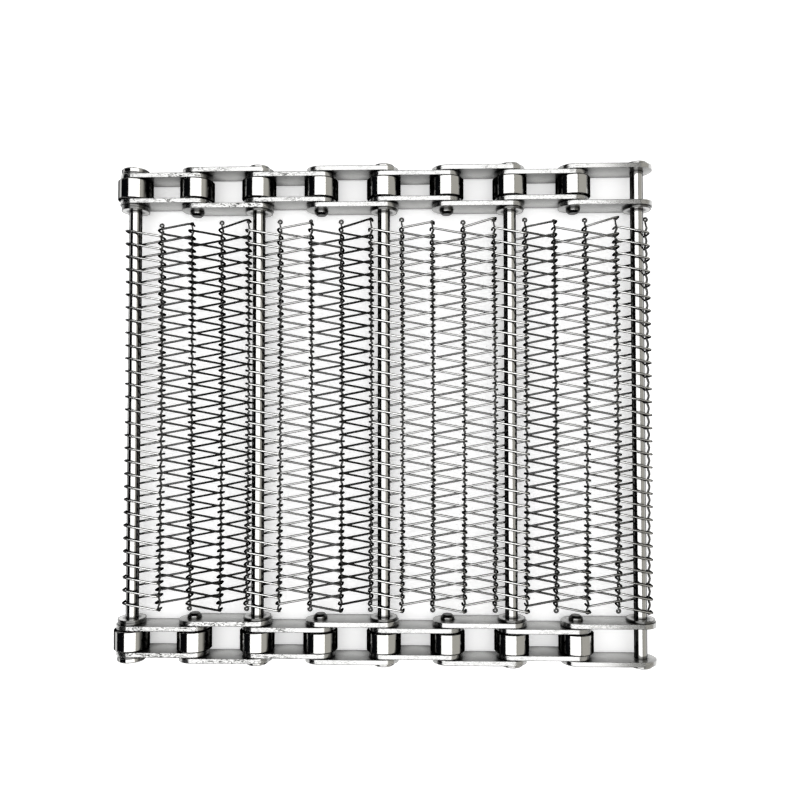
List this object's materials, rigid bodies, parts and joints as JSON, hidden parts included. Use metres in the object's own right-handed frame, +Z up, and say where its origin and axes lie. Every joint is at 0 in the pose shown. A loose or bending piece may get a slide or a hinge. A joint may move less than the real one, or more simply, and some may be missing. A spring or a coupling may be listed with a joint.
{
  "type": "wire mesh conveyor belt",
  "caption": "Length of woven wire mesh belt carried on cross rods between two roller chains, lying flat, for carrying goods through a machine.",
  "frame": {"origin": "middle of the underside, at the height of the rollers' lowest line", "axes": "+X along the belt towards the outer link end, +Y across it, +Z up"},
  "size_m": [0.4321, 0.4002, 0.0275],
  "materials": {
    "plate_steel": "satin, bright sheared edges",
    "pin_steel": "turned, polished",
    "rod_steel": "drawn, bright",
    "roller_steel": "turned and polished",
    "wire_steel": "bright drawn wire"
  },
  "bodies": {
    "link_1": {"inner_plates_1": "plate_steel", "bushes_1": "pin_steel", "cross_rod_1": "rod_steel", "rod_washers_1": "pin_steel", "mesh_spirals_1": "wire_steel", "connecting_wires_1": "wire_steel"},
    "link_2": {"outer_plates_2": "plate_steel", "short_pins_2": "pin_steel", "cross_rod_2": "rod_steel", "rod_washers_2": "pin_steel", "mesh_spirals_2": "wire_steel", "connecting_wires_2": "wire_steel"},
    "link_3": {"inner_plates_3": "plate_steel", "bushes_3": "pin_steel", "mesh_spirals_3": "wire_steel", "connecting_wires_3": "wire_steel"},
    "link_4": {"outer_plates_4": "plate_steel", "short_pins_4": "pin_steel", "cross_rod_4": "rod_steel", "rod_washers_4": "pin_steel", "mesh_spirals_4": "wire_steel", "connecting_wires_4": "wire_steel"},
    "link_5": {"inner_plates_5": "plate_steel", "bushes_5": "pin_steel", "mesh_spirals_5": "wire_steel", "connecting_wires_5": "wire_steel"},
    "link_6": {"outer_plates_6": "plate_steel", "short_pins_6": "pin_steel", "cross_rod_6": "rod_steel", "rod_washers_6": "pin_steel", "mesh_spirals_6": "wire_steel", "connecting_wires_6": "wire_steel"},
    "link_7": {"inner_plates_7": "plate_steel", "bushes_7": "pin_steel", "mesh_spirals_7": "wire_steel", "connecting_wires_7": "wire_steel"},
    "link_8": {"outer_plates_8": "plate_steel", "short_pins_8": "pin_steel", "cross_rod_8": "rod_steel", "rod_washers_8": "pin_steel", "mesh_spirals_8": "wire_steel", "connecting_wires_8": "wire_steel"},
    "wheel_left_1": {"roller_left_1": "roller_steel"},
    "wheel_left_2": {"roller_left_2": "roller_steel"},
    "wheel_left_3": {"roller_left_3": "roller_steel"},
    "wheel_left_4": {"roller_left_4": "roller_steel"},
    "wheel_left_5": {"roller_left_5": "roller_steel"},
    "wheel_left_6": {"roller_left_6": "roller_steel"},
    "wheel_left_7": {"roller_left_7": "roller_steel"},
    "wheel_left_8": {"roller_left_8": "roller_steel"},
    "wheel_right_1": {"roller_right_1": "roller_steel"},
    "wheel_right_2": {"roller_right_2": "roller_steel"},
    "wheel_right_3": {"roller_right_3": "roller_steel"},
    "wheel_right_4": {"roller_right_4": "roller_steel"},
    "wheel_right_5": {"roller_right_5": "roller_steel"},
    "wheel_right_6": {"roller_right_6": "roller_steel"},
    "wheel_right_7": {"roller_right_7": "roller_steel"},
    "wheel_right_8": {"roller_right_8": "roller_steel"}
  },
  "joints": [
    {"name": "bend_2", "type": "hinge", "parent": "link_1", "child": "link_2", "pos_m": [-0.15152, 0, 0.01375], "axis": [0, 1, 0], "range_deg": [-20, 20]},
    {"name": "bend_3", "type": "hinge", "parent": "link_2", "child": "link_3", "pos_m": [-0.10072, 0, 0.01375], "axis": [0, 1, 0], "range_deg": [-20, 20]},
    {"name": "bend_4", "type": "hinge", "parent": "link_3", "child": "link_4", "pos_m": [-0.04992, 0, 0.01375], "axis": [0, 1, 0], "range_deg": [-20, 20]},
    {"name": "bend_5", "type": "hinge", "parent": "link_4", "child": "link_5", "pos_m": [0.00088, 0, 0.01375], "axis": [0, 1, 0], "range_deg": [-20, 20]},
    {"name": "bend_6", "type": "hinge", "parent": "link_5", "child": "link_6", "pos_m": [0.05167, 0, 0.01375], "axis": [0, 1, 0], "range_deg": [-20, 20]},
    {"name": "bend_7", "type": "hinge", "parent": "link_6", "child": "link_7", "pos_m": [0.10247, 0, 0.01375], "axis": [0, 1, 0], "range_deg": [-20, 20]},
    {"name": "bend_8", "type": "hinge", "parent": "link_7", "child": "link_8", "pos_m": [0.15327, 0, 0.01375], "axis": [0, 1, 0], "range_deg": [-20, 20]},
    {"name": "roll_left_1", "type": "hinge", "parent": "link_1", "child": "wheel_left_1", "pos_m": [-0.20233, 0.1807, 0.01375], "axis": [0, 1, 0], "continuous": true},
    {"name": "roll_left_2", "type": "hinge", "parent": "link_1", "child": "wheel_left_2", "pos_m": [-0.15152, 0.1807, 0.01375], "axis": [0, 1, 0], "continuous": true},
    {"name": "roll_left_3", "type": "hinge", "parent": "link_3", "child": "wheel_left_3", "pos_m": [-0.10072, 0.1807, 0.01375], "axis": [0, 1, 0], "continuous": true},
    {"name": "roll_left_4", "type": "hinge", "parent": "link_3", "child": "wheel_left_4", "pos_m": [-0.04992, 0.1807, 0.01375], "axis": [0, 1, 0], "continuous": true},
    {"name": "roll_left_5", "type": "hinge", "parent": "link_5", "child": "wheel_left_5", "pos_m": [0.00088, 0.1807, 0.01375], "axis": [0, 1, 0], "continuous": true},
    {"name": "roll_left_6", "type": "hinge", "parent": "link_5", "child": "wheel_left_6", "pos_m": [0.05167, 0.1807, 0.01375], "axis": [0, 1, 0], "continuous": true},
    {"name": "roll_left_7", "type": "hinge", "parent": "link_7", "child": "wheel_left_7", "pos_m": [0.10247, 0.1807, 0.01375], "axis": [0, 1, 0], "continuous": true},
    {"name": "roll_left_8", "type": "hinge", "parent": "link_7", "child": "wheel_left_8", "pos_m": [0.15327, 0.1807, 0.01375], "axis": [0, 1, 0], "continuous": true},
    {"name": "roll_right_1", "type": "hinge", "parent": "link_1", "child": "wheel_right_1", "pos_m": [-0.20233, -0.1807, 0.01375], "axis": [0, 1, 0], "continuous": true},
    {"name": "roll_right_2", "type": "hinge", "parent": "link_1", "child": "wheel_right_2", "pos_m": [-0.15152, -0.1807, 0.01375], "axis": [0, 1, 0], "continuous": true},
    {"name": "roll_right_3", "type": "hinge", "parent": "link_3", "child": "wheel_right_3", "pos_m": [-0.10072, -0.1807, 0.01375], "axis": [0, 1, 0], "continuous": true},
    {"name": "roll_right_4", "type": "hinge", "parent": "link_3", "child": "wheel_right_4", "pos_m": [-0.04992, -0.1807, 0.01375], "axis": [0, 1, 0], "continuous": true},
    {"name": "roll_right_5", "type": "hinge", "parent": "link_5", "child": "wheel_right_5", "pos_m": [0.00088, -0.1807, 0.01375], "axis": [0, 1, 0], "continuous": true},
    {"name": "roll_right_6", "type": "hinge", "parent": "link_5", "child": "wheel_right_6", "pos_m": [0.05167, -0.1807, 0.01375], "axis": [0, 1, 0], "continuous": true},
    {"name": "roll_right_7", "type": "hinge", "parent": "link_7", "child": "wheel_right_7", "pos_m": [0.10247, -0.1807, 0.01375], "axis": [0, 1, 0], "continuous": true},
    {"name": "roll_right_8", "type": "hinge", "parent": "link_7", "child": "wheel_right_8", "pos_m": [0.15327, -0.1807, 0.01375], "axis": [0, 1, 0], "continuous": true}
  ]
}
